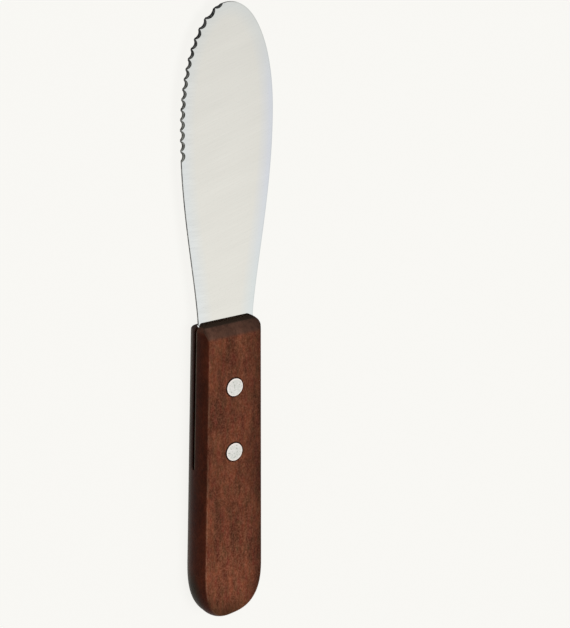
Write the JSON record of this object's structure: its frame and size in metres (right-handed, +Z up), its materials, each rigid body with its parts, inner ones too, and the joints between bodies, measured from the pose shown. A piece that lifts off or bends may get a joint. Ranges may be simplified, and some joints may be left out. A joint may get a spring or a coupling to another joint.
{
  "type": "butter knife",
  "caption": "Butter and sandwich spreader: wide thin steel blade with a scalloped edge and round tip, riveted by its tang into a slotted wooden handle.",
  "frame": {"origin": "on the handle's flat underside, on the centreline, at the middle of the handle's length", "axes": "+X along the knife to the blade's tip, +Y to the scalloped edge, +Z up through the handle's thickness, out of the face that shows in the picture"},
  "size_m": [0.1845, 0.031, 0.01],
  "materials": {
    "blade_steel": "satin",
    "handle_wood": "satin",
    "rivet_metal": "satin"
  },
  "bodies": {
    "root": {"blade": "blade_steel", "handle": "handle_wood", "front_rivet_female": "rivet_metal", "front_rivet_male": "rivet_metal", "rear_rivet_female": "rivet_metal", "rear_rivet_male": "rivet_metal"}
  },
  "joints": []
}
